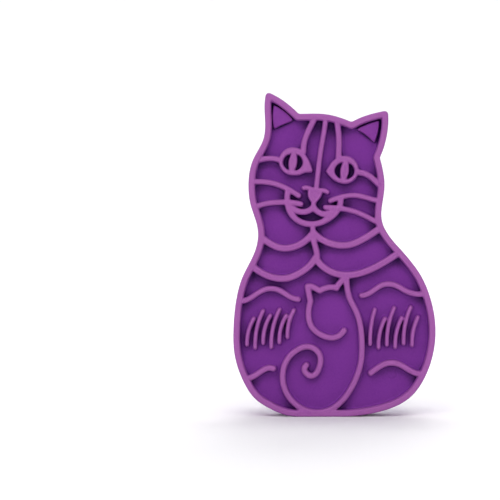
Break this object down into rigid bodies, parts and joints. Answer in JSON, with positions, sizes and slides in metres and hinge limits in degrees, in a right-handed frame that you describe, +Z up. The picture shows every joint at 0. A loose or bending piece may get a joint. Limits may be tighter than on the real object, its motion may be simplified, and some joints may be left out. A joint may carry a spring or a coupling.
{
  "type": "curry comb",
  "caption": "Moulded rubber curry comb in the outline of a sitting cat, with raised line relief on the face and flexible tapered tines on the back.",
  "frame": {"origin": "on the flat bottom edge that the comb stands on, half-way through the body's depth, in the body's mid-width", "axes": "+Z up towards the ears, -Y out of the drawn face, +Y along the tines away from the pad, +X to the right as the face is seen"},
  "size_m": [0.0689, 0.033, 0.1101],
  "materials": {
    "pad_rubber": "soft satin moulded rubber, lighter pinkish purple on raised edges",
    "tine_rubber": "soft satin moulded rubber, slightly bluer purple"
  },
  "bodies": {
    "comb_body": {"pad": "pad_rubber", "rim": "pad_rubber", "ear_insets": "pad_rubber", "eye_left": "pad_rubber", "eye_right": "pad_rubber", "nose": "pad_rubber", "forehead_stripe_left": "pad_rubber", "forehead_stripe_right": "pad_rubber", "nose_bridge": "pad_rubber", "cheek_line_left": "pad_rubber", "cheek_line_right": "pad_rubber", "whisker_upper_left": "pad_rubber", "whisker_lower_left": "pad_rubber", "whisker_upper_right": "pad_rubber", "whisker_lower_right": "pad_rubber", "muzzle": "pad_rubber", "mouth": "pad_rubber", "chin_line": "pad_rubber", "bib_upper_left": "pad_rubber", "bib_upper_right": "pad_rubber", "bib_centre": "pad_rubber", "bib_lower_left": "pad_rubber", "bib_lower_right": "pad_rubber", "kitten": "pad_rubber", "fur_wave_upper_left": "pad_rubber", "fur_wave_upper_right": "pad_rubber", "fur_wave_lower_left": "pad_rubber", "fur_wave_lower_right": "pad_rubber", "fur_tufts_left": "pad_rubber", "fur_tufts_right": "pad_rubber", "tine_roots": "tine_rubber"},
    "finger_a1": {"tine_a1": "tine_rubber"},
    "finger_a2": {"tine_a2": "tine_rubber"},
    "finger_a3": {"tine_a3": "tine_rubber"},
    "finger_b1": {"tine_b1": "tine_rubber"},
    "finger_b2": {"tine_b2": "tine_rubber"},
    "finger_b3": {"tine_b3": "tine_rubber"},
    "finger_b4": {"tine_b4": "tine_rubber"},
    "finger_b5": {"tine_b5": "tine_rubber"},
    "finger_b6": {"tine_b6": "tine_rubber"},
    "finger_b7": {"tine_b7": "tine_rubber"},
    "finger_c1": {"tine_c1": "tine_rubber"},
    "finger_c2": {"tine_c2": "tine_rubber"},
    "finger_c3": {"tine_c3": "tine_rubber"},
    "finger_c4": {"tine_c4": "tine_rubber"},
    "finger_c5": {"tine_c5": "tine_rubber"},
    "finger_c6": {"tine_c6": "tine_rubber"},
    "finger_d1": {"tine_d1": "tine_rubber"},
    "finger_d2": {"tine_d2": "tine_rubber"},
    "finger_d3": {"tine_d3": "tine_rubber"},
    "finger_d4": {"tine_d4": "tine_rubber"},
    "finger_d5": {"tine_d5": "tine_rubber"},
    "finger_d6": {"tine_d6": "tine_rubber"},
    "finger_d7": {"tine_d7": "tine_rubber"},
    "finger_e1": {"tine_e1": "tine_rubber"},
    "finger_e2": {"tine_e2": "tine_rubber"},
    "finger_e3": {"tine_e3": "tine_rubber"}
  },
  "joints": [
    {"name": "bend_a1", "type": "hinge", "parent": "comb_body", "child": "finger_a1", "pos_m": [0.0233, 0.01425, 0.015], "axis": [1, 0, 0], "range_deg": [-25, 25], "stiffness_Nm_per_rad": 0.011},
    {"name": "bend_a2", "type": "hinge", "parent": "comb_body", "child": "finger_a2", "pos_m": [0.0233, 0.01425, 0.03], "axis": [1, 0, 0], "range_deg": [-25, 25], "stiffness_Nm_per_rad": 0.011},
    {"name": "bend_a3", "type": "hinge", "parent": "comb_body", "child": "finger_a3", "pos_m": [0.0233, 0.01425, 0.045], "axis": [1, 0, 0], "range_deg": [-25, 25], "stiffness_Nm_per_rad": 0.011},
    {"name": "bend_b1", "type": "hinge", "parent": "comb_body", "child": "finger_b1", "pos_m": [0.0108, 0.01425, 0.0075], "axis": [1, 0, 0], "range_deg": [-25, 25], "stiffness_Nm_per_rad": 0.011},
    {"name": "bend_b2", "type": "hinge", "parent": "comb_body", "child": "finger_b2", "pos_m": [0.0108, 0.01425, 0.0225], "axis": [1, 0, 0], "range_deg": [-25, 25], "stiffness_Nm_per_rad": 0.011},
    {"name": "bend_b3", "type": "hinge", "parent": "comb_body", "child": "finger_b3", "pos_m": [0.0108, 0.01425, 0.0375], "axis": [1, 0, 0], "range_deg": [-25, 25], "stiffness_Nm_per_rad": 0.011},
    {"name": "bend_b4", "type": "hinge", "parent": "comb_body", "child": "finger_b4", "pos_m": [0.0108, 0.01425, 0.0525], "axis": [1, 0, 0], "range_deg": [-25, 25], "stiffness_Nm_per_rad": 0.011},
    {"name": "bend_b5", "type": "hinge", "parent": "comb_body", "child": "finger_b5", "pos_m": [0.0108, 0.01425, 0.0675], "axis": [1, 0, 0], "range_deg": [-25, 25], "stiffness_Nm_per_rad": 0.011},
    {"name": "bend_b6", "type": "hinge", "parent": "comb_body", "child": "finger_b6", "pos_m": [0.0108, 0.01425, 0.0825], "axis": [1, 0, 0], "range_deg": [-25, 25], "stiffness_Nm_per_rad": 0.011},
    {"name": "bend_b7", "type": "hinge", "parent": "comb_body", "child": "finger_b7", "pos_m": [0.0108, 0.01425, 0.0975], "axis": [1, 0, 0], "range_deg": [-25, 25], "stiffness_Nm_per_rad": 0.011},
    {"name": "bend_c1", "type": "hinge", "parent": "comb_body", "child": "finger_c1", "pos_m": [-0.0017, 0.01425, 0.015], "axis": [1, 0, 0], "range_deg": [-25, 25], "stiffness_Nm_per_rad": 0.011},
    {"name": "bend_c2", "type": "hinge", "parent": "comb_body", "child": "finger_c2", "pos_m": [-0.0017, 0.01425, 0.03], "axis": [1, 0, 0], "range_deg": [-25, 25], "stiffness_Nm_per_rad": 0.011},
    {"name": "bend_c3", "type": "hinge", "parent": "comb_body", "child": "finger_c3", "pos_m": [-0.0017, 0.01425, 0.045], "axis": [1, 0, 0], "range_deg": [-25, 25], "stiffness_Nm_per_rad": 0.011},
    {"name": "bend_c4", "type": "hinge", "parent": "comb_body", "child": "finger_c4", "pos_m": [-0.0017, 0.01425, 0.06], "axis": [1, 0, 0], "range_deg": [-25, 25], "stiffness_Nm_per_rad": 0.011},
    {"name": "bend_c5", "type": "hinge", "parent": "comb_body", "child": "finger_c5", "pos_m": [-0.0017, 0.01425, 0.075], "axis": [1, 0, 0], "range_deg": [-25, 25], "stiffness_Nm_per_rad": 0.011},
    {"name": "bend_c6", "type": "hinge", "parent": "comb_body", "child": "finger_c6", "pos_m": [-0.0017, 0.01425, 0.09], "axis": [1, 0, 0], "range_deg": [-25, 25], "stiffness_Nm_per_rad": 0.011},
    {"name": "bend_d1", "type": "hinge", "parent": "comb_body", "child": "finger_d1", "pos_m": [-0.0142, 0.01425, 0.0075], "axis": [1, 0, 0], "range_deg": [-25, 25], "stiffness_Nm_per_rad": 0.011},
    {"name": "bend_d2", "type": "hinge", "parent": "comb_body", "child": "finger_d2", "pos_m": [-0.0142, 0.01425, 0.0225], "axis": [1, 0, 0], "range_deg": [-25, 25], "stiffness_Nm_per_rad": 0.011},
    {"name": "bend_d3", "type": "hinge", "parent": "comb_body", "child": "finger_d3", "pos_m": [-0.0142, 0.01425, 0.0375], "axis": [1, 0, 0], "range_deg": [-25, 25], "stiffness_Nm_per_rad": 0.011},
    {"name": "bend_d4", "type": "hinge", "parent": "comb_body", "child": "finger_d4", "pos_m": [-0.0142, 0.01425, 0.0525], "axis": [1, 0, 0], "range_deg": [-25, 25], "stiffness_Nm_per_rad": 0.011},
    {"name": "bend_d5", "type": "hinge", "parent": "comb_body", "child": "finger_d5", "pos_m": [-0.0142, 0.01425, 0.0675], "axis": [1, 0, 0], "range_deg": [-25, 25], "stiffness_Nm_per_rad": 0.011},
    {"name": "bend_d6", "type": "hinge", "parent": "comb_body", "child": "finger_d6", "pos_m": [-0.0142, 0.01425, 0.0825], "axis": [1, 0, 0], "range_deg": [-25, 25], "stiffness_Nm_per_rad": 0.011},
    {"name": "bend_d7", "type": "hinge", "parent": "comb_body", "child": "finger_d7", "pos_m": [-0.0142, 0.01425, 0.0975], "axis": [1, 0, 0], "range_deg": [-25, 25], "stiffness_Nm_per_rad": 0.011},
    {"name": "bend_e1", "type": "hinge", "parent": "comb_body", "child": "finger_e1", "pos_m": [-0.0267, 0.01425, 0.015], "axis": [1, 0, 0], "range_deg": [-25, 25], "stiffness_Nm_per_rad": 0.011},
    {"name": "bend_e2", "type": "hinge", "parent": "comb_body", "child": "finger_e2", "pos_m": [-0.0267, 0.01425, 0.03], "axis": [1, 0, 0], "range_deg": [-25, 25], "stiffness_Nm_per_rad": 0.011},
    {"name": "bend_e3", "type": "hinge", "parent": "comb_body", "child": "finger_e3", "pos_m": [-0.0267, 0.01425, 0.045], "axis": [1, 0, 0], "range_deg": [-25, 25], "stiffness_Nm_per_rad": 0.011}
  ]
}
